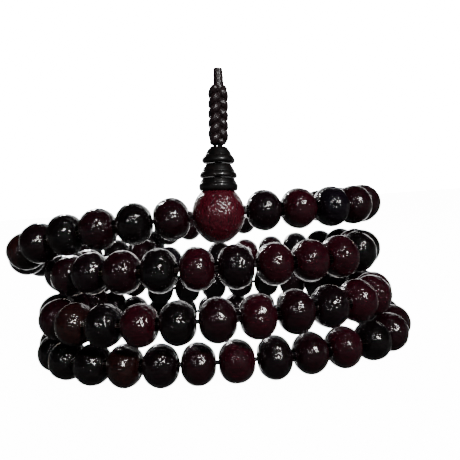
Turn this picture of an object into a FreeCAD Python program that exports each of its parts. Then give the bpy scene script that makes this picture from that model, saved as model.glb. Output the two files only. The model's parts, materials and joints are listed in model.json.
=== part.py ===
import FreeCAD, Part
import math
import os

# Mala prayer beads: one closed strand of 108 wooden beads and a guru bead, wound into a loose
# four-turn coil that stands on the table, with three turned spacer discs and a snake knot
# standing on the guru bead. Millimetres, +Z up, the front of the coil faces -Y.

V = FreeCAD.Vector

# ---- driving dimensions -------------------------------------------------------------------
BEAD_COUNT = 108
BEAD_DIAMETER = 8.0
BEAD_DIAMETER_SPREAD = 0.16     # the beads are hand turned, so no two are quite alike
BEAD_LENGTH_SPREAD = 0.30
BEAD_FACE_RADIUS = 1.45         # flat ring around the mouth of the bore
BEAD_BORE_RADIUS = 1.2
BEAD_GAP = 0.50                 # cord that shows between two beads, measured on the strand
SIDE_GAP = 0.22                 # least gap between beads of different turns
RETURN_GAP = 1.7                # the same beside the stretch that comes back down, which they pass
OPEN_GAP = 1.2                  # extra cord where the top turn meets that stretch

CORD_RADIUS = 0.4
CORD_END_GAP = 0.06             # where two turns' cords meet

GURU_WIDTH = 9.8
GURU_HEIGHT = 10.6
GURU_FLAT_RADIUS = 1.6
GURU_STEM_BORE = 0.8

# The three turned discs, each a low bell: radius of its foot, of its rim and of its top, the
# height of its rim, its whole height, and how deep its underside is dished.
DISCS = (
    ("lower", 3.25, 3.60, 2.90, 0.40, 2.25, 1.1),
    ("middle", 3.00, 3.50, 2.20, 0.45, 2.55, 0.0),
    ("upper", 2.45, 3.05, 1.50, 0.80, 3.05, 0.0),
)
DISC_SEAT_RADIUS = 1.75         # flat middle of a dished underside
DISC_BULGE = 0.24               # how far a disc's side stands out from a straight cone
DISC_BORE_RADIUS = 0.75
DISC_GAP = 0.08
STEM_RADIUS = 0.6
STEM_LEAN_BACK = 3.0            # degrees that the guru bead and all on it lean towards +Y
STEM_LEAN_RIGHT = 4.0           # and towards +X

KNOT_WIDTH = 3.5
KNOT_LOBES = 6
KNOT_LOBE_PITCH = 1.78
KNOT_WAIST = 0.78               # waist between two lobes, as a share of the knot's width
KNOT_GAP = 0.12
STUB_DIAMETER = 1.6
STUB_LENGTH = 2.9

# Each turn is a rounded oval that leans a little, from the bottom of the coil to the top:
# centre x, centre y, half width, half depth, height, rise per mm along x and along y, and the
# two parts of its saddle-shaped wave.
TURNS = (
    ("bottom_turn", 0.0, 0.0, 36.8, 21.2, 4.15, 0.000, 0.000, 0.0, 0.0),
    ("third_turn", -1.5, -3.0, 33.2, 22.0, 12.0, -0.010, -0.040, 0.0, 0.4),
    ("second_turn", -1.0, -0.3, 31.4, 22.7, 19.9, 0.025, -0.085, -0.2, -0.7),
    ("top_turn", -5.2, 2.4, 37.4, 20.5, 27.5, 0.100, -0.120, 0.7, -1.4),
)
SQUARENESS = 2.25               # exponent of the rounded oval; 2 is an ellipse
LINK_ANGLE = 216.0              # where one turn passes into the next: 0 front, 90 right, 180 back
LINK_SHARE = 0.10               # share of a turn over which the strand climbs, each side of it
RETURN_SHARE = 0.11             # the same for the stretch that comes back down behind the coil
RETURN_OFFSET = 12.7            # how far that stretch stands off behind the turns
GURU_ANGLE = 6.6                # where on the top turn the guru bead sits

GROUP_SIZE = 5                  # beads of the lower turns that share one node
SAMPLES = 2400
SETTLE_ROUNDS = 260
LARGEST_BEND = 20.0             # the most that the strand turns at one bead, in degrees


# ---- the strand ---------------------------------------------------------------------------
def noise(index, salt):
    """A repeatable number from -1 to 1 for one bead."""
    value = math.sin(index * 12.9898 + salt * 78.233) * 43758.5453
    return 2.0 * (value - math.floor(value)) - 1.0


def smooth(t):
    t = min(max(t, 0.0), 1.0)
    return t * t * t * (t * (6.0 * t - 15.0) + 10.0)


def signed_power(value, exponent):
    return math.copysign(abs(value) ** exponent, value)


def on_turn(turn, angle):
    """The point of one turn's oval at an angle, in degrees."""
    _, cx, cy, width, depth, height, rise_x, rise_y, wave_cos, wave_sin = TURNS[turn]
    a = math.radians(angle)
    power = 2.0 / SQUARENESS
    x = width * signed_power(math.sin(a), power)
    y = -depth * signed_power(math.cos(a), power)
    z = height + rise_x * x + rise_y * y
    z += wave_cos * math.cos(2 * a) + wave_sin * math.sin(2 * a)
    return V(cx + x, cy + y, z)


def on_strand(u):
    """The point of the closed strand at u turns from the start of the bottom turn, 0 to 4."""
    count = len(TURNS)
    u = u % count
    angle = LINK_ANGLE + 360.0 * u
    nearest = int(round(u))
    from_link = u - nearest
    if nearest in (0, count):
        t = smooth(0.5 + from_link / (2.0 * RETURN_SHARE))
        top, bottom = on_turn(count - 1, angle), on_turn(0, angle)
        point = top * (1.0 - t) + bottom * t
        outward = V(math.sin(math.radians(angle)), -math.cos(math.radians(angle)), 0)
        return point + outward * (RETURN_OFFSET * math.sin(math.pi * t))
    t = smooth(0.5 + from_link / (2.0 * LINK_SHARE))
    return on_turn(nearest - 1, angle) * (1.0 - t) + on_turn(nearest, angle) * t


def lay_out():
    """Bead sizes, and their places at even spacing along the strand from the guru bead."""
    points = [on_strand(len(TURNS) * i / SAMPLES) for i in range(SAMPLES + 1)]
    run = [0.0]
    for a, b in zip(points, points[1:]):
        run.append(run[-1] + a.distanceToPoint(b))
    start = len(TURNS) - 1 + ((GURU_ANGLE - LINK_ANGLE) % 360.0) / 360.0
    first = run[int(round(start / len(TURNS) * SAMPLES))]
    weights = [1.0 + BEAD_LENGTH_SPREAD / BEAD_DIAMETER * noise(i, 1) for i in range(BEAD_COUNT)]
    free = run[-1] - GURU_WIDTH - BEAD_GAP * (BEAD_COUNT + 1)
    lengths = [GURU_WIDTH] + [free * w / sum(weights) for w in weights]
    diameters = [GURU_WIDTH]
    diameters += [BEAD_DIAMETER + BEAD_DIAMETER_SPREAD * noise(i, 2) for i in range(BEAD_COUNT)]
    places, turns = [], []
    at = 0.0
    for i, length in enumerate(lengths):
        if i:
            at += (lengths[i - 1] + length) / 2.0 + BEAD_GAP
        along = (first + at) % run[-1]
        k = next(j for j in range(SAMPLES) if run[j + 1] >= along)
        u = len(TURNS) * (k + (along - run[k]) / (run[k + 1] - run[k])) / SAMPLES
        turns.append(u)
        places.append(on_strand(u))
    return lengths, diameters, places, turns


def comes_back(u):
    """Whether a place on the strand is on the stretch that comes back down behind the coil."""
    return u > len(TURNS) - RETURN_SHARE


def settle(lengths, diameters, targets, turns):
    """Lets beads that would run into another turn move aside, with the strand kept whole."""
    count = len(targets)
    back = [comes_back(u) or u < RETURN_SHARE for u in turns]
    first_back = back.index(True)
    spacing = [(a + b) / 2.0 + BEAD_GAP for a, b in zip(lengths, lengths[1:] + lengths[:1])]
    spacing[first_back - 1] += OPEN_GAP
    places = [V(p) for p in targets]
    for step in range(SETTLE_ROUNDS):
        hold = 0.06 * (1.0 - step / (0.8 * SETTLE_ROUNDS))
        if hold > 0:
            places = [p + (t - p) * hold for p, t in zip(places, targets)]
        for i in range(count):
            j = (i + 1) % count
            between = places[j] - places[i]
            push = between * (0.5 * (1.0 - spacing[i] / between.Length))
            places[i] += push
            places[j] -= push
        for i in range(count):
            before, after = places[i - 1], places[(i + 1) % count]
            between = after - before
            want = places[i].distanceToPoint(before) + places[i].distanceToPoint(after)
            want *= math.cos(math.radians(LARGEST_BEND / 2.0))
            if between.Length < want:
                push = between * (0.5 * (1.0 - want / between.Length))
                places[i - 1] += push
                places[(i + 1) % count] -= push
        for i in range(count):
            for j in range(i + 2, count):
                if abs(places[i].z - places[j].z) > GURU_HEIGHT:
                    continue
                between = places[j] - places[i]
                gap = RETURN_GAP if back[i] != back[j] and j - i > 4 else SIDE_GAP
                want = (diameters[i] + diameters[j]) / 2.0 + gap
                if between.Length < want and (i, j) != (0, count - 1):
                    push = between * (0.5 * (1.0 - want / between.Length))
                    places[i] += push
                    places[j] -= push
            lowest = diameters[i] / 2.0
            if places[i].z < lowest:
                places[i].z = lowest
    return places


def axis_at(places, i):
    """The strand's direction through bead i, which is the direction of the bead's bore."""
    return (places[(i + 1) % len(places)] - places[i - 1]).normalize()


# ---- the pieces, each made on its own axis --------------------------------------------------
def turned(outline):
    """A solid of revolution about Z from a closed outline of edges in the XZ plane."""
    face = Part.Face(Part.Wire(outline))
    return face.revolve(V(0, 0, 0), V(0, 0, 1), 360)


def line(r0, z0, r1, z1):
    return Part.makeLine(V(r0, 0, z0), V(r1, 0, z1))


def arc(r0, z0, r1, z1, r2, z2):
    return Part.Arc(V(r0, 0, z0), V(r1, 0, z1), V(r2, 0, z2)).toShape()


def barrel(diameter, length, face_radius, bore_radius):
    """A rounded bead with a flat ring at each end and a bore along Z."""
    r, h = diameter / 2.0, length / 2.0
    return turned([
        line(bore_radius, -h, face_radius, -h),
        arc(face_radius, -h, r, 0, face_radius, h),
        line(face_radius, h, bore_radius, h),
        line(bore_radius, h, bore_radius, -h),
    ])


def placed(shape, position, direction, twist=0.0):
    """Moves a shape's Z axis to a position and direction, after a twist about Z in degrees."""
    aim = FreeCAD.Rotation(V(0, 0, 1), direction)
    shape.Placement = FreeCAD.Placement(position, aim.multiply(FreeCAD.Rotation(V(0, 0, 1), twist)))
    return shape


def guru_bead(position, strand_axis, up):
    """The large round bead, drilled across for the strand and from the top for the stem."""
    r, h = GURU_WIDTH / 2.0, GURU_HEIGHT / 2.0
    body = placed(turned([
        line(0, -h, GURU_FLAT_RADIUS, -h),
        arc(GURU_FLAT_RADIUS, -h, r, 0, GURU_FLAT_RADIUS, h),
        line(GURU_FLAT_RADIUS, h, 0, h),
        line(0, h, 0, -h),
    ]), position, up, twist=90.0)
    across = Part.makeCylinder(BEAD_BORE_RADIUS, 2 * GURU_WIDTH,
                               position - strand_axis * GURU_WIDTH, strand_axis)
    stem = Part.makeCylinder(GURU_STEM_BORE, GURU_HEIGHT, position, up)
    return body.cut(across).cut(stem)


def disc(foot, rim, top, rim_height, height, dish):
    """A turned disc, standing on Z = 0: a low bell with a rounded rim."""
    bulge_r, bulge_z = (rim + top) / 2.0 + DISC_BULGE, (rim_height + height) / 2.0 + DISC_BULGE
    underside = [line(DISC_BORE_RADIUS, 0, foot, 0)]
    if dish:
        underside = [
            line(DISC_BORE_RADIUS, dish, DISC_SEAT_RADIUS, dish),
            arc(DISC_SEAT_RADIUS, dish, 0.45 * DISC_SEAT_RADIUS + 0.55 * foot, 0.62 * dish, foot, 0),
        ]
    return turned(underside + [
        arc(foot, 0, rim - 0.1 * (rim - foot), 0.4 * rim_height, rim, rim_height),
        arc(rim, rim_height, bulge_r, bulge_z, top, height),
        line(top, height, DISC_BORE_RADIUS, height),
        line(DISC_BORE_RADIUS, height, DISC_BORE_RADIUS, dish),
    ])


def snake_knot():
    """The plaited knot as a stack of lobes on Z, its round foot centred on the origin."""
    wide = KNOT_WIDTH / 2.0
    waist = wide * KNOT_WAIST
    half = KNOT_LOBE_PITCH / 2.0
    foot = math.sqrt(waist ** 2 + half ** 2)
    outline = [arc(0, -foot, foot * math.sin(math.radians(50)), -foot * math.cos(math.radians(50)),
                   waist, -half)]
    for lobe in range(KNOT_LOBES):
        z = lobe * KNOT_LOBE_PITCH
        outline.append(arc(waist, z - half, wide, z, waist, z + half))
    top = (KNOT_LOBES - 1) * KNOT_LOBE_PITCH + half
    outline.append(line(waist, top, 0, top))
    outline.append(line(0, top, 0, -foot))
    return turned(outline), foot, top


def cord(points, lead_in, lead_out):
    """A round cord through the bead centres: straight runs joined by arcs as large as they go."""
    route = [lead_in] + points + [lead_out]
    edges, at = [], route[0]
    for before, corner, after in zip(route, route[1:], route[2:]):
        a, b = (before - corner).normalize(), (after - corner).normalize()
        shorter = min(before.distanceToPoint(corner), after.distanceToPoint(corner))
        reach = 0.45 * shorter
        start, end = corner + a * reach, corner + b * reach
        half_turn = (math.pi - a.getAngle(b)) / 2.0
        radius = reach / math.tan(half_turn)
        inward = (a + b).normalize()
        middle = corner + inward * (radius / math.cos(half_turn) - radius)
        edges.append(Part.makeLine(at, start))
        edges.append(Part.Arc(start, middle, end).toShape())
        at = end
    edges.append(Part.makeLine(at, route[-1]))
    path = Part.Wire(edges)
    section = Part.Wire(Part.makeCircle(CORD_RADIUS, route[0], route[1] - route[0]))
    return path.makePipeShell([section], True, True), path.Length


# ---- assembly -----------------------------------------------------------------------------
os.makedirs("parts", exist_ok=True)
lengths, diameters, targets, turns = lay_out()
centres = settle(lengths, diameters, targets, turns)
box = FreeCAD.BoundBox()
for centre, size in zip(centres, diameters):
    box.add(centre + V(1, 1, 1) * (size / 2.0))
    box.add(centre - V(1, 1, 1) * (size / 2.0))
centres = [c - V(box.Center.x, box.Center.y, 0) for c in centres]

solids = {}
members = {name: [] for name, *_ in TURNS}
for i in range(1, BEAD_COUNT + 1):
    members[TURNS[0 if comes_back(turns[i]) else int(turns[i])][0]].append(i)
for beads in members.values():
    beads.sort(key=lambda i: (turns[i] + RETURN_SHARE) % len(TURNS))

for name, beads in members.items():
    group = 0
    shapes = []
    for n, i in enumerate(beads, 1):
        bead = barrel(diameters[i], lengths[i], BEAD_FACE_RADIUS, BEAD_BORE_RADIUS)
        shapes.append(placed(bead, centres[i], axis_at(centres, i)))
        if name == "top_turn":
            solids["top_bead_%02d" % n] = shapes.pop()
        elif len(shapes) == GROUP_SIZE or n == len(beads):
            group += 1
            solids["%s_beads_%d" % (name, group)] = Part.makeCompound(shapes)
            shapes = []

def gap_beside(i, j):
    """Where the cord of bead i ends beside its neighbour j, which belongs to another turn."""
    between = centres[j] - centres[i]
    return centres[i] + between.normalize() * ((lengths[i] + BEAD_GAP) / 2.0 - CORD_END_GAP)


hinges = {}
for name, beads in members.items():
    order = list(beads)
    if name == "top_turn":
        order.insert(order.index(BEAD_COUNT) + 1, 0)
    before, after = order[0] - 1, (order[-1] + 1) % (BEAD_COUNT + 1)
    ends = gap_beside(order[0], before), gap_beside(order[-1], after)
    shape, length = cord([centres[i] for i in order], *ends)
    solids[name + "_cord"] = shape
    along = centres[order[0]] - centres[before]
    hinges[name] = (ends[0], along)
    print("%s: %d beads, cord %.0f mm, volume %.3f of section times length"
          % (name, len(beads), length, shape.Volume / (math.pi * CORD_RADIUS ** 2 * length)))

guru_at = centres[0]
guru_axis = axis_at(centres, 0)
up = V(math.tan(math.radians(STEM_LEAN_RIGHT)), math.tan(math.radians(STEM_LEAN_BACK)), 1)
up.normalize()
solids["guru_bead"] = guru_bead(guru_at, guru_axis, up)

level = GURU_HEIGHT / 2.0
for place, *sizes in DISCS:
    *_, height, dish = sizes
    level += DISC_GAP - dish
    solids["spacer_disc_" + place] = placed(disc(*sizes), guru_at + up * level, up)
    level += height
stem_foot = CORD_RADIUS + 0.5
solids["stem_cord"] = Part.makeCylinder(STEM_RADIUS, level - stem_foot, guru_at + up * stem_foot, up)
knot, knot_foot, knot_top = snake_knot()
knot_at = guru_at + up * (level + KNOT_GAP + knot_foot)
solids["snake_knot"] = placed(knot, knot_at, up)
stub_at = knot_at + up * knot_top
solids["trimmed_cord_end"] = Part.makeCylinder(STUB_DIAMETER / 2.0, STUB_LENGTH, stub_at, up)

for name, (point, along) in hinges.items():
    print("%s joins the turn before it at" % name, tuple(point), "along", tuple(along.normalize()))
print("guru bead at", tuple(guru_at), "across", tuple(guru_axis), "up", tuple(up))
print("knot turns at", tuple(knot_at), "cord ends at", tuple(stub_at + up * STUB_LENGTH))
print("bead lengths %.2f to %.2f" % (min(lengths[1:]), max(lengths[1:])))

for node, shape in solids.items():
    shape.exportStep("parts/%s.step" % node)
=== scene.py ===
"""Mala prayer beads: a four-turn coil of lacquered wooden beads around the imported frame."""
import json
import math

import bmesh
import bpy
import numpy as np
from mathutils import Matrix, Vector, noise


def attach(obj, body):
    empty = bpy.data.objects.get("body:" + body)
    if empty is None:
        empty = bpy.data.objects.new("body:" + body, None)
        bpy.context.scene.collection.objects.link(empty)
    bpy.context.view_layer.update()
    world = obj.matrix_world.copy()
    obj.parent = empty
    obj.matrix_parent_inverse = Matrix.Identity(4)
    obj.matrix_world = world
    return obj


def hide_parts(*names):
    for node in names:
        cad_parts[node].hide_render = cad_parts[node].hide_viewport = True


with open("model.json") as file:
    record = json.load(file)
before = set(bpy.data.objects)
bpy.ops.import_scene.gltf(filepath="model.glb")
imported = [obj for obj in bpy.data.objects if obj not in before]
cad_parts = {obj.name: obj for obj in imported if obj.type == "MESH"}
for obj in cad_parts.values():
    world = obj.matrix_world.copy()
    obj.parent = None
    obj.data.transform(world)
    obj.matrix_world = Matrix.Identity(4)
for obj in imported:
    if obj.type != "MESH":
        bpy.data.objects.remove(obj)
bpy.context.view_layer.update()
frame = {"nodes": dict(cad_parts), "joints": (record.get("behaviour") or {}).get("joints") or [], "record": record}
NODES = frame["nodes"]
BODIES = frame["record"]["behaviour"]["bodies"]
BODY_OF = {node: body for body, nodes in BODIES.items() for node in nodes}
JOINTS = {joint["name"]: joint for joint in frame["joints"]}
STRAND_AT_GURU = Vector(JOINTS["guru_nod"]["axis"]).normalized()
GURU_AT = Vector(JOINTS["guru_nod"]["pos_m"])
UP = Vector(JOINTS["spacer_lower_spin"]["axis"]).normalized()
MM = 0.001

# ---- driving values ---------------------------------------------------------------------------
CAMERA_AT = (0.0027, -0.1088, 0.0335)
CAMERA_YAW, CAMERA_PITCH, CAMERA_ROLL = 1.37, 3.74, 4.06     # degrees: right, down, clockwise
CAMERA_LENS = 37.33                                          # mm on a 36 mm sensor

BEAD_BARREL_RINGS, BEAD_SIDES = 34, 72
BEAD_FACE = 1.45 * MM          # radius of the flat ring at each end of a bead
BEAD_BORE = 1.2 * MM
BEAD_MOUTH = 0.12 * MM         # rounding where the bore opens
SHOULDER = 0.16 * MM           # rounding where the flat ring meets the barrel
BEAD_DENTS = 5
BEAD_TWIST = 2.399             # radians from each bead to the next, so that no two look the same
FRONT_Y = -0.006               # beads whose centres lie before this face the viewer

GURU_RINGS, GURU_SIDES = 84, 128
GURU_STEM_BORE = 0.8 * MM
GURU_SEED, GURU_DENTS = 501, 14
DRILL_SIDES = 48

DISC_SIDES, RIM_STEPS, SLOPE_STEPS = 112, 9, 30
DISHED = {"lower": 1.1 * MM}   # depth of the hollow under a disc
# Section of that hollow: radius in mm and share of its depth
HOLLOW = ((1.7, 1.0), (2.05, 0.93), (2.5, 0.66), (2.9, 0.34), (3.15, 0.06))
CUT_LINE = (0.07 * MM, 0.27, 0.035)     # depth, place on the slope and width of a disc's line
DISC_WEAR, DISC_WEAR_SCALE = 0.012, 1.1

# Unevenness of turned wood, coarse to fine: height in mm, bumps per mm, offset
UNEVEN = ((0.085, 0.33, -0.45), (0.030, 0.95, -0.30), (0.010, 2.6, 0.0))

KNOT_TURN = 12.0               # degrees that the knot's broad side is turned off the strand
PLAIT_STRANDS, PLAIT_TURNS, PLAIT_STEPS = 3, 2.0, 260
PLAIT_STRAND = 0.47            # radius of a strand, as a share of the knot's half width
PLAIT_WIDTH = 1.06             # half width of the plait, as the same share
PLAIT_DEPTH = 0.60             # its depth, as a share of its swing from side to side
END_STEPS = 90
BRAID_SIDES, BRAID_CELL, BRAID_RELIEF = 44, 0.46 * MM, 0.11 * MM

FLOOR_HALF = 3.0
BACKDROP_WHITE = 30.0
FLOOR_GLOW = 14.0              # keeps the floor as white as the backdrop
# Name, place, size, power, and whether the lacquer mirrors it
LIGHTS = (
    ("overhead", (0.05, -0.05, 0.9), (1.2, 1.2), 4.5, False),
    ("window_right", (0.17, -0.34, 0.24), (0.026, 0.060), 2.4, True),
    ("window_left", (-0.12, -0.40, 0.20), (0.022, 0.022), 0.22, True),
    ("window_behind", (-0.16, 0.42, 0.24), (0.04, 0.08), 1.3, True),
)
# Brightness of the room that the lacquer mirrors: by height of the direction, and behind the coil
ROOM_BY_HEIGHT = ((-1.0, 0.04), (-0.35, 0.09), (-0.04, 0.16), (0.06, 0.03), (0.30, 0.01))
ROOM_BEHIND = ((0.70, 0.0), (0.95, 2.0))

TURN_ORDER = ("bottom_turn", "third_turn", "second_turn", "top_turn")
# Tones of the beads that face the viewer, from left to right in each turn:
# k black, d dark brown, m maroon, r red, p purple-black, b brown with an open grain.
FRONT_TONES = {
    "top_turn": "bdkmkmdrpmm",
    "second_turn": "dmdmkrdrrrk",
    "third_turn": "kmbkrkmrmdr",
    "bottom_turn": "kkkbdmrdmrkm",
}
OTHER_TONES = "kdmkdrkmdp"


# ---- small helpers ----------------------------------------------------------------------------
def add_mesh(name, verts, faces, material, place=None):
    """A smooth-shaded mesh object in the scene."""
    mesh = bpy.data.meshes.new(name)
    mesh.from_pydata([tuple(v) for v in verts], [], faces)
    mesh.polygons.foreach_set("use_smooth", [True] * len(mesh.polygons))
    mesh.materials.append(material)
    mesh.update()
    obj = bpy.data.objects.new(name, mesh)
    bpy.context.scene.collection.objects.link(obj)
    if place is not None:
        obj.matrix_world = place
    return obj


def grid_faces(rings, sides, closed_rings=False):
    """Quads of a grid whose rings each close on themselves."""
    faces = []
    for i in range(rings if closed_rings else rings - 1):
        a, b = i * sides, ((i + 1) % rings) * sides
        for j in range(sides):
            k = (j + 1) % sides
            faces.append((a + j, a + k, b + k, b + j))
    return faces


def lathe(profile, sides):
    """Vertices of a turned surface: profile is a list of (radius, height)."""
    profile = np.array(profile)
    turn = np.linspace(0, 2 * math.pi, sides, endpoint=False)
    r, z = profile[:, :1], profile[:, 1:]
    z = np.broadcast_to(z, (len(r), sides))
    return np.stack([r * np.cos(turn), r * np.sin(turn), z], -1).reshape(-1, 3)


def basis(position, direction):
    """A placement whose Z axis runs along direction."""
    return Matrix.Translation(position) @ direction.to_track_quat("Z", "Y").to_matrix().to_4x4()


def end_caps(verts, sides):
    """The two faces that close the first and the last ring of a tube."""
    return [tuple(range(sides))[::-1], tuple(range(verts - sides, verts))]


def barrel(radius, flat, half, trim, rings):
    """The bulging side of a turned bead that is flat as far as a radius at each end."""
    centre = (radius ** 2 - flat ** 2 - half ** 2) / (2 * (radius - flat))
    swell = radius - centre
    reach = math.atan2(half, flat - centre)
    return [(centre + swell * math.cos(a), swell * math.sin(a))
            for a in np.linspace(-reach + trim, reach - trim, rings)]


# ---- materials --------------------------------------------------------------------------------
class Nodes:
    """A short way to write a node tree."""

    def __init__(self, name):
        self.material = bpy.data.materials.new(name)
        self.material.use_nodes = True
        self.tree = self.material.node_tree
        self.shader = self.tree.nodes["Principled BSDF"]

    def add(self, kind, inputs=None, **settings):
        """A new node. Each input is a value or another node's output."""
        node = self.tree.nodes.new("ShaderNode" + kind)
        for key, value in settings.items():
            setattr(node, key, value)
        for key, value in (inputs or {}).items():
            self.put(node.inputs[key], value)
        return node

    def put(self, socket, value):
        if isinstance(value, bpy.types.NodeSocket):
            self.tree.links.new(value, socket)
        else:
            socket.default_value = value

    def set(self, **values):
        """Inputs of the shader, with underscores for the spaces in their names."""
        for key, value in values.items():
            self.put(self.shader.inputs[key.replace("_", " ")], value)

    def local(self, stretch):
        """Coordinates in the piece's own frame, in millimetres, different on every piece."""
        here = self.add("TexCoord").outputs["Object"]
        own = self.add("ObjectInfo").outputs["Random"]
        shift = self.add("VectorMath", {0: own, 1: (37.0, 91.0, 53.0)}, operation="MULTIPLY")
        scaled = self.add("VectorMath", {0: here, 1: tuple(1000.0 * s for s in stretch)},
                          operation="MULTIPLY")
        return self.add("VectorMath", {0: scaled.outputs[0], 1: shift.outputs[0]},
                        operation="ADD").outputs[0]

    def noise(self, where, scale, detail=4.0, roughness=0.55, distortion=0.0):
        inputs = {"Vector": where, "Scale": scale, "Detail": detail, "Roughness": roughness,
                  "Distortion": distortion}
        return self.add("TexNoise", inputs).outputs["Fac"]

    def ramp(self, value, stops):
        """A colour ramp; a stop is its place and a colour or a grey level."""
        node = self.add("ValToRGB", {"Fac": value})
        elements = node.color_ramp.elements
        while len(elements) < len(stops):
            elements.new(0.5)
        for element, (at, colour) in zip(elements, stops):
            element.position = at
            element.color = (*(colour if isinstance(colour, tuple) else (colour,) * 3), 1.0)
        return node.outputs["Color"]

    def mix(self, share, a, b, blend="MIX"):
        node = self.add("Mix", data_type="RGBA", blend_type=blend)
        self.put(node.inputs["Factor"], share)
        for socket, value in zip((node.inputs[6], node.inputs[7]), (a, b)):
            self.put(socket, (*value, 1.0) if isinstance(value, tuple) else value)
        return node.outputs[2]

    def math(self, operation, a, b=0.0):
        return self.add("Math", {0: a, 1: b}, operation=operation).outputs[0]

    def bump(self, layers):
        """Stacked bumps, coarse to fine: (height, strength, depth in mm)."""
        normal = None
        for height, strength, depth in layers:
            node = self.add("Bump", {"Height": height, "Strength": strength,
                                     "Distance": depth * MM})
            if normal is not None:
                self.put(node.inputs["Normal"], normal)
            normal = node.outputs["Normal"]
        self.put(self.shader.inputs["Normal"], normal)
        return normal


def lacquered_wood(name, dark, light, mottle, peel=1.0, coat_roughness=0.05, dimples=1.0):
    """Stained wood with grain along the bore, blotches and pores, under a thin uneven lacquer."""
    n = Nodes(name)
    along = n.local((1.0, 1.0, 0.22))
    even = n.local((1.0, 1.0, 1.0))
    grain = n.noise(along, 2.6, 7.0, 0.62, 0.6)
    blotch = n.noise(even, 0.55, 3.0, 0.6, 0.4)
    fibre = n.noise(along, 9.0, 3.0, 0.7)
    pores = n.ramp(n.noise(along, 6.0, 2.0, 0.5), [(0.30, 0.0), (0.40, 1.0)])
    wood = n.mix(n.ramp(grain, [(0.34, 0.0), (0.66, 1.0)]), dark, light)
    middle = tuple(0.5 * (a + b) for a, b in zip(dark, light))
    wood = n.mix(n.ramp(blotch, [(0.42, 0.0), (0.62, mottle)]), wood, middle)
    wood = n.mix(n.math("MULTIPLY", fibre, 0.35), wood, dark)
    wood = n.mix(n.math("SUBTRACT", 1.0, pores), wood, tuple(0.35 * c for c in dark))
    rough = n.add("MapRange", {"Value": blotch, "From Min": 0.3, "From Max": 0.7,
                               "To Min": 0.30, "To Max": 0.52}).outputs[0]
    n.set(Base_Color=wood, Roughness=rough, Specular_IOR_Level=0.05,
          Coat_Weight=1.0, Coat_Roughness=coat_roughness, Coat_IOR=1.5)
    skin = n.bump([
        (n.noise(even, 0.8 * dimples, 1.0, 0.5), 1.0 * peel, 0.30 / dimples),
        (n.noise(even, 2.0 * dimples, 2.0, 0.55), 1.0 * peel, 0.11),
        (pores, 0.5, 0.02),
    ])
    n.put(n.shader.inputs["Coat Normal"], skin)
    return n.material


def satin_wood(name):
    """Near-black turned wood, rubbed paler and browner on its edges."""
    n = Nodes(name)
    even = n.local((1.0, 1.0, 1.0))
    rings = n.local((0.4, 0.4, 6.0))
    worn = n.ramp(n.noise(even, 1.3, 4.0, 0.6), [(0.45, 0.0), (0.70, 1.0)])
    colour = n.mix(worn, (0.0014, 0.0011, 0.0011), (0.008, 0.0045, 0.004))
    lines = n.noise(rings, 2.4, 3.0, 0.6)
    colour = n.mix(n.math("MULTIPLY", lines, 0.4), colour, (0.002, 0.002, 0.002))
    rough = n.add("MapRange", {"Value": lines, "To Min": 0.28, "To Max": 0.50}).outputs[0]
    n.set(Base_Color=colour, Roughness=rough, Specular_IOR_Level=0.25,
          Coat_Weight=0.5, Coat_Roughness=0.14)
    n.bump([(n.noise(even, 1.6, 3.0, 0.6), 0.5, 0.05), (lines, 0.5, 0.02)])
    return n.material


def thread(name):
    """Shiny filament thread, dark brown, with single filaments that catch the light."""
    n = Nodes(name)
    even = n.local((1.0, 1.0, 1.0))
    fine = n.noise(even, 14.0, 3.0, 0.7)
    colour = n.mix(n.ramp(fine, [(0.40, 0.0), (0.72, 1.0)]), (0.004, 0.002, 0.0024),
                   (0.024, 0.011, 0.013))
    rough = n.add("MapRange", {"Value": fine, "To Min": 0.22, "To Max": 0.48}).outputs[0]
    n.set(Base_Color=colour, Roughness=rough, Specular_IOR_Level=0.45)
    n.bump([(fine, 0.6, 0.02)])
    return n.material


TONES = {
    "k": lacquered_wood("bead_black", (0.0008, 0.0005, 0.0006), (0.0035, 0.0016, 0.002), 0.6),
    "d": lacquered_wood("bead_dark_brown", (0.0012, 0.0005, 0.0008), (0.007, 0.0014, 0.003), 0.7),
    "m": lacquered_wood("bead_maroon", (0.0015, 0.0004, 0.0007), (0.015, 0.0012, 0.0038), 0.7),
    "r": lacquered_wood("bead_red", (0.003, 0.0004, 0.0009), (0.032, 0.0018, 0.0062), 0.8),
    "p": lacquered_wood("bead_purple_black", (0.001, 0.0006, 0.0015), (0.005, 0.0022, 0.0055),
                        0.6),
    "b": lacquered_wood("bead_open_grain", (0.0015, 0.0005, 0.0005), (0.022, 0.005, 0.005), 0.5),
}
GURU_WOOD = lacquered_wood("guru_red", (0.012, 0.0006, 0.0020), (0.085, 0.0045, 0.012), 0.8,
                           peel=1.2, coat_roughness=0.08, dimples=1.5)
DISC_WOOD = satin_wood("disc_wood")
THREAD = thread("thread")


# ---- camera, floor and light ------------------------------------------------------------------
def camera():
    """The photograph's view."""
    yaw, pitch, roll = (math.radians(a) for a in (CAMERA_YAW, CAMERA_PITCH, CAMERA_ROLL))
    turn = (Matrix.Rotation(-yaw, 4, "Z") @ Matrix.Rotation(math.pi / 2 - pitch, 4, "X")
            @ Matrix.Rotation(-roll, 4, "Z"))
    data = bpy.data.cameras.new("camera")
    data.lens = CAMERA_LENS
    data.sensor_width = 36.0
    data.clip_start = 0.005
    obj = bpy.data.objects.new("camera", data)
    obj.matrix_world = Matrix.Translation(CAMERA_AT) @ turn
    bpy.context.scene.collection.objects.link(obj)
    bpy.context.scene.camera = obj


def area_light(name, at, size, power, glossy):
    """A rectangular white light that aims at the coil's middle."""
    data = bpy.data.lights.new(name, "AREA")
    data.shape = "RECTANGLE"
    data.size, data.size_y = size
    data.energy = power
    obj = bpy.data.objects.new(name, data)
    obj.location = at
    aim = Vector((0, 0, 0.02)) - Vector(at)
    obj.rotation_euler = aim.to_track_quat("-Z", "Y").to_euler()
    obj.visible_glossy = glossy
    bpy.context.scene.collection.objects.link(obj)


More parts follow.
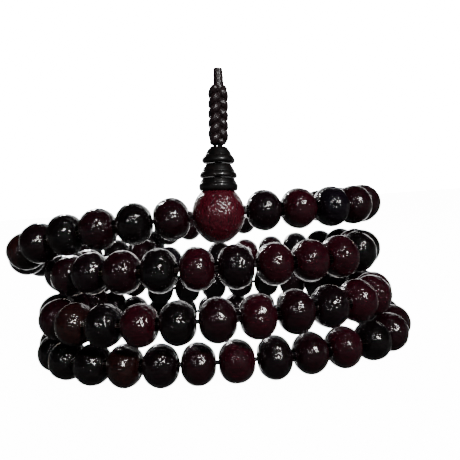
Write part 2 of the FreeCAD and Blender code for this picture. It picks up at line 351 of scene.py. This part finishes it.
def studio():
    """A glowing floor, the lights, and a room of plain gradients for the lacquer to mirror."""
    n = Nodes("pale_floor")
    n.set(Base_Color=(0.86, 0.86, 0.86, 1.0), Roughness=0.65, Specular_IOR_Level=0.2,
          Emission_Color=(1.0, 1.0, 1.0, 1.0), Emission_Strength=FLOOR_GLOW)
    half = FLOOR_HALF
    corners = [(-half, -half, 0), (half, -half, 0), (half, half, 0), (-half, half, 0)]
    floor = add_mesh("floor", corners, [(0, 1, 2, 3)], n.material)
    floor.visible_glossy = False
    floor.visible_diffuse = False
    for light in LIGHTS:
        area_light(*light)
    world = bpy.data.worlds.new("room")
    bpy.context.scene.world = world
    world.use_nodes = True
    tree = world.node_tree
    background = tree.nodes["Background"]
    where = tree.nodes.new("ShaderNodeTexCoord")
    split = tree.nodes.new("ShaderNodeSeparateXYZ")
    path = tree.nodes.new("ShaderNodeLightPath")
    mix = tree.nodes.new("ShaderNodeMix")
    mix.data_type = "RGBA"
    brightest = tree.nodes.new("ShaderNodeMix")
    brightest.data_type = "RGBA"
    brightest.blend_type = "LIGHTEN"
    brightest.inputs["Factor"].default_value = 1.0
    tree.links.new(where.outputs["Generated"], split.inputs[0])
    for axis, socket, stops in (("Z", 6, ROOM_BY_HEIGHT), ("Y", 7, ROOM_BEHIND)):
        spread = tree.nodes.new("ShaderNodeMapRange")
        spread.inputs["From Min"].default_value = -1.0
        ramp = tree.nodes.new("ShaderNodeValToRGB")
        tree.links.new(split.outputs[axis], spread.inputs["Value"])
        tree.links.new(spread.outputs[0], ramp.inputs["Fac"])
        tree.links.new(ramp.outputs["Color"], brightest.inputs[socket])
        elements = ramp.color_ramp.elements
        while len(elements) < len(stops):
            elements.new(0.5)
        for element, (at, level) in zip(elements, stops):
            element.position, element.color = 0.5 + 0.5 * at, (level, level, level, 1.0)
    tree.links.new(path.outputs["Is Camera Ray"], mix.inputs["Factor"])
    tree.links.new(brightest.outputs[2], mix.inputs[6])
    mix.inputs[7].default_value = (BACKDROP_WHITE, BACKDROP_WHITE, BACKDROP_WHITE, 1.0)
    tree.links.new(mix.outputs[2], background.inputs["Color"])


# ---- beads ------------------------------------------------------------------------------------
class Bead:
    """Where one bead of the frame is: its centre, bore direction, radius and length."""

    def __init__(self, node, points):
        self.node = node
        self.body = BODY_OF[node]
        points = np.array(points)
        self.centre = points.mean(0)
        # The bead is shortest along its bore, so that is the direction of least spread.
        self.axis = np.linalg.eigh(np.cov((points - self.centre).T))[1][:, 0]
        along = (points - self.centre) @ self.axis
        self.centre = self.centre + self.axis * (0.5 * (along.max() + along.min()))
        off = points - self.centre
        along = off @ self.axis
        self.length = along.max() - along.min()
        self.radius = np.linalg.norm(off - np.outer(along, self.axis), axis=1).max()


def islands(node):
    """The separate solids of one frame node, each as its list of points."""
    bm = bmesh.new()
    bm.from_mesh(NODES[node].data)
    bmesh.ops.remove_doubles(bm, verts=bm.verts, dist=2e-6)
    left = set(bm.verts)
    found = []
    while left:
        queue = [left.pop()]
        points = []
        while queue:
            vert = queue.pop()
            points.append(tuple(vert.co))
            for edge in vert.link_edges:
                other = edge.other_vert(vert)
                if other in left:
                    left.remove(other)
                    queue.append(other)
        found.append(points)
    bm.free()
    return found


def bead_profile(radius, length):
    """The closed section of a bead: bore wall, mouth, flat ring, rounded shoulder and barrel."""
    half = length / 2
    face = half - 0.04 * MM
    near = [
        (BEAD_BORE, 0.6 * half),
        (BEAD_BORE, half - 2 * BEAD_MOUTH),
        (BEAD_BORE + 0.3 * BEAD_MOUTH, face - 0.4 * BEAD_MOUTH),
        (BEAD_BORE + BEAD_MOUTH, face),
        (BEAD_FACE - SHOULDER, face + 0.01 * MM),
        (BEAD_FACE - 0.02 * MM, face - 0.02 * MM),
    ]
    outer = barrel(radius, BEAD_FACE, half, 0.05, BEAD_BARREL_RINGS)
    return [(r, -z) for r, z in near] + outer + near[::-1]


def roughen(points, seed, swell, dents):
    """Moves a turned surface's points a little: uneven turning and shallow dents."""
    shift = Vector((seed * 3.7, seed * 1.9, seed * 7.1))
    out = []
    for p, n in zip(points, points / np.linalg.norm(points, axis=1, keepdims=True)):
        q = Vector(p) / MM
        move = 0.0
        for height, scale, offset in UNEVEN:
            move += height * (noise.noise(q * scale + shift) + offset)
        out.append(p + n * move * MM * swell)
    out = np.array(out)
    rng = np.random.default_rng(seed)
    reach = np.linalg.norm(points, axis=1).max()
    for _ in range(dents):
        direction = rng.normal(size=3)
        direction /= np.linalg.norm(direction)
        size, depth = rng.uniform(0.35, 0.8) * MM, rng.uniform(0.03, 0.09) * MM
        away = np.linalg.norm(out - direction * reach, axis=1)
        out -= direction * (depth * np.exp(-(away / size) ** 2))[:, None]
    return out


def make_bead(bead, number, tone):
    """One wooden bead with a real bore, on its own body."""
    profile = bead_profile(bead.radius, bead.length)
    points = lathe(profile, BEAD_SIDES)
    wall = np.hypot(points[:, 0], points[:, 1]) < BEAD_FACE - 0.05 * MM
    moved = roughen(points, number, 1.0, BEAD_DENTS)
    moved[wall] = points[wall]
    place = basis(Vector(bead.centre), Vector(bead.axis))
    place = place @ Matrix.Rotation(number * BEAD_TWIST, 4, "Z")
    faces = grid_faces(len(profile), BEAD_SIDES, closed_rings=True)
    obj = add_mesh("wood_bead_%03d" % number, moved, faces, TONES[tone], place)
    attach(obj, bead.body)
    return obj


def turn_of(node):
    """The turn of the coil that a node's beads belong to."""
    return "top_turn" if node.startswith("top_bead") else node[:node.index("_beads")]


def all_beads():
    """A modelled bead for every bead of the frame."""
    by_turn = {turn: [] for turn in TURN_ORDER}
    for node in sorted(NODES):
        if node.startswith("top_bead") or "_beads_" in node:
            for points in islands(node):
                by_turn[turn_of(node)].append(Bead(node, points))
    made = {}
    number = 0
    for turn in TURN_ORDER:
        beads = sorted(by_turn[turn], key=lambda b: b.centre[0])
        front = [b for b in beads if b.centre[1] < FRONT_Y]
        tones = FRONT_TONES[turn]
        for bead in beads:
            number += 1
            if bead in front:
                place = front.index(bead)
                tone = tones[min(place, len(tones) - 1)]
            else:
                tone = OTHER_TONES[number % len(OTHER_TONES)]
            made.setdefault(bead.node, []).append(make_bead(bead, number, tone))
    for node, pieces in made.items():
        for piece in pieces:
            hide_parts(node)


# ---- guru bead, discs and tail ----------------------------------------------------------------
def outline_of(node, place):
    """Points of a frame node as (radius, height) about a placement's Z axis."""
    points = [place.inverted() @ v.co for v in NODES[node].data.vertices]
    return np.array([(math.hypot(p.x, p.y), p.z) for p in points])


def smooth_step(t):
    """From 0 to 1 with a soft start and end."""
    t = min(max(t, 0.0), 1.0)
    return t * t * (3 - 2 * t)


def wear(points, seed, depth, scale):
    """Fine unevenness of a turned surface, inwards only."""
    shift = Vector((seed * 5.3, seed * 2.1, seed * 8.7))
    moved = []
    for p in points:
        amount = 0.5 + 0.5 * noise.noise(Vector(p) / MM * scale + shift)
        moved.append((p[0] * (1 - depth * amount), p[1] * (1 - depth * amount), p[2]))
    return np.array(moved)


def make_guru():
    """The large bead, bored from the top for the stem and across for the strand."""
    place = basis(GURU_AT, UP)
    outline = outline_of("guru_bead", place)
    half = outline[:, 1].max()
    radius = outline[:, 0].max()
    flat = outline[outline[:, 1] > half - 1e-5][:, 0].max()
    bore = GURU_STEM_BORE
    foot = [(0.02 * MM, -half), (0.5 * flat, -half), (0.85 * flat, -half)]
    stem_hole = [(0.85 * flat, half), (bore + 0.1 * MM, half), (bore, half - 0.1 * MM),
                 (bore, 0.5 * half), (0.02 * MM, 0.5 * half)]
    profile = foot + barrel(radius, flat, half, 0.03, GURU_RINGS) + stem_hole
    points = lathe(profile, GURU_SIDES)
    moved = roughen(points, GURU_SEED, 0.9, GURU_DENTS)
    smooth = GURU_SIDES * len(stem_hole)
    moved[-smooth:] = points[-smooth:]
    faces = grid_faces(len(profile), GURU_SIDES) + end_caps(len(moved), GURU_SIDES)
    guru = add_mesh("guru_bead_turned", moved, faces, GURU_WOOD, place)
    drill_across(guru, GURU_AT, STRAND_AT_GURU, BEAD_BORE, radius)
    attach(guru, "guru")
    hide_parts("guru_bead")


def drill_across(obj, at, direction, bore, reach):
    """Cuts a straight bore through a piece and keeps the cut mesh."""
    wall = lathe([(bore, -1.6 * reach), (bore, 1.6 * reach)], DRILL_SIDES)
    faces = grid_faces(2, DRILL_SIDES) + end_caps(len(wall), DRILL_SIDES)
    drill = add_mesh("drill", wall, faces, GURU_WOOD, basis(at, direction))
    cut = obj.modifiers.new("bore", "BOOLEAN")
    cut.operation = "DIFFERENCE"
    cut.solver = "EXACT"
    cut.object = drill
    bpy.context.view_layer.update()
    done = obj.evaluated_get(bpy.context.evaluated_depsgraph_get())
    mesh = bpy.data.meshes.new_from_object(done)
    obj.modifiers.clear()
    obj.data = mesh
    bpy.data.objects.remove(drill)


def make_disc(place_name, number):
    """One low bell, turned on the lathe: foot, rounded rim, sloping side with a cut line."""
    node = "spacer_disc_" + place_name
    place = basis(GURU_AT, UP)
    outline = outline_of(node, place)
    low, high = outline[:, 1].min(), outline[:, 1].max()
    height = high - low
    bore = outline[:, 0].min()
    rim = outline[:, 0].max()
    rim_at = outline[outline[:, 0].argmax(), 1] - low
    foot = outline[outline[:, 1] < low + 1e-5][:, 0].max()
    top = outline[outline[:, 1] > high - 1e-5][:, 0].max()
    dish = DISHED.get(place_name, 0.0)
    profile = [(bore, 0.7 * height), (bore, dish + 0.1 * MM), (bore + 0.08 * MM, dish)]
    if dish:
        profile += [(r * MM, share * dish) for r, share in HOLLOW]
    profile.append((foot - 0.05 * MM, 0.0))
    for t in np.linspace(0.0, 1.0, RIM_STEPS):
        a = -math.pi / 2 + t * math.pi / 2
        profile.append((foot + (rim - foot) * math.cos(a), rim_at + rim_at * math.sin(a)))
    cut_depth, cut_at, cut_width = CUT_LINE
    for t in np.linspace(0.04, 1.0, SLOPE_STEPS):
        r = rim + (top - rim) * (0.80 * t ** 1.25 + 0.20 * smooth_step(t / 0.45))
        z = rim_at + (height - rim_at) * (0.55 * math.sin(0.5 * math.pi * t) + 0.45 * t)
        line = cut_depth * math.exp(-((t - cut_at) / cut_width) ** 2)
        profile.append((r - line, min(z, height)))
    profile += [(top - 0.12 * MM, height), (bore + 0.08 * MM, height), (bore, height - 0.1 * MM)]
    points = wear(lathe(profile, DISC_SIDES), number, DISC_WEAR, DISC_WEAR_SCALE)
    faces = grid_faces(len(profile), DISC_SIDES, closed_rings=True)
    disc = add_mesh("spacer_disc_%s_turned" % place_name, points, faces, DISC_WOOD,
                    basis(GURU_AT + UP * low, UP))
    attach(disc, "spacer_" + place_name)
    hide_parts(node)


def braided_tube(name, path, radii, place, relief=BRAID_RELIEF):
    """A round plaited cord along a path: its surface is a lattice of small diamond bumps."""
    path = np.array(path)
    steps = np.linalg.norm(np.diff(path, axis=0), axis=1)
    run = np.concatenate([[0.0], np.cumsum(steps)])
    tangents = np.gradient(path, run, axis=0)
    tangents /= np.linalg.norm(tangents, axis=1, keepdims=True)
    normal = np.cross(tangents[0], (0.31, 0.95, 0.05))
    verts = []
    turn = np.linspace(0, 2 * math.pi, BRAID_SIDES, endpoint=False)
    around = max(4, round(2 * math.pi * radii[len(radii) // 2] / BRAID_CELL))
    for point, tangent, radius, s in zip(path, tangents, radii, run):
        normal = normal - tangent * (normal @ tangent)
        normal /= np.linalg.norm(normal)
        other = np.cross(tangent, normal)
        u = 0.5 * (around * turn + math.pi * s / BRAID_CELL)
        v = 0.5 * (around * turn - math.pi * s / BRAID_CELL)
        bumps = np.abs(np.cos(u)) ** 0.8 * np.abs(np.cos(v)) ** 0.8
        r = radius + relief * (bumps - 0.6) * min(1.0, radius / (0.5 * max(radii)))
        sideways = np.outer(r * np.cos(turn), normal)
        verts.append(point + sideways + np.outer(r * np.sin(turn), other))
    verts = np.concatenate(verts)
    faces = grid_faces(len(path), BRAID_SIDES) + end_caps(len(verts), BRAID_SIDES)
    return add_mesh(name, verts, faces, THREAD, place)


def make_tail():
    """The snake knot, plaited from three strands of braided cord, and the cord's trimmed end."""
    across = STRAND_AT_GURU - UP * STRAND_AT_GURU.dot(UP)
    across = (Matrix.Rotation(math.radians(KNOT_TURN), 3, UP) @ across).normalized()
    away = UP.cross(across)
    place = Matrix.Translation(GURU_AT) @ Matrix((across, away, UP)).transposed().to_4x4()
    outline = outline_of("snake_knot", place)
    low, high = outline[:, 1].min(), outline[:, 1].max()
    half_width = outline[:, 0].max()
    strand = PLAIT_STRAND * half_width
    sway = PLAIT_WIDTH * half_width - strand
    depth = PLAIT_DEPTH * sway
    pieces = []
    for k in range(PLAIT_STRANDS):
        path, radii = [], []
        for t in np.linspace(0.0, 1.0, PLAIT_STEPS):
            # The strands draw together at both ends of the knot.
            close = min(1.0, math.sin(math.pi * t) * 5.0 + 0.28)
            a = 2 * math.pi * (PLAIT_TURNS * t + k / PLAIT_STRANDS)
            z = low + 0.30 * strand + (high - low - 0.55 * strand) * t
            path.append((sway * close * math.sin(a), depth * close * math.sin(2 * a), z))
            radii.append(strand * min(1.0, 0.35 + 9.0 * t, 0.35 + 9.0 * (1.0 - t)))
        pieces.append(braided_tube("snake_knot_strand_%d" % (k + 1), path, radii, place))
    outline = outline_of("trimmed_cord_end", place)
    stub_low, stub_high = outline[:, 1].min(), outline[:, 1].max()
    stub_radius = outline[:, 0].max()
    path, radii = [], []
    for t in np.linspace(0.0, 1.0, END_STEPS):
        z = stub_low - 1.0 * MM + (stub_high - stub_low + 0.96 * MM) * t
        path.append((0.06 * MM * math.sin(5 * t), 0.05 * MM * math.sin(4 * t), z))
        radii.append(stub_radius * (1.28 - 0.26 * t))
    stub = braided_tube("cord_end_braid", path, radii, place, relief=0.10 * MM)
    for piece in pieces:
        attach(piece, "tail")
        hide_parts("snake_knot")
    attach(stub, "tail")
    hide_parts("trimmed_cord_end")


def dress_cords():
    """The cords inside the beads keep their frame shapes and get the thread material."""
    for node, obj in NODES.items():
        if node.endswith("_cord"):
            obj.data.materials.clear()
            obj.data.materials.append(THREAD)


# ---- scene ------------------------------------------------------------------------------------
camera()
studio()
all_beads()
make_guru()
for number, place_name in enumerate(("lower", "middle", "upper"), 1):
    make_disc(place_name, number)
make_tail()
dress_cords()
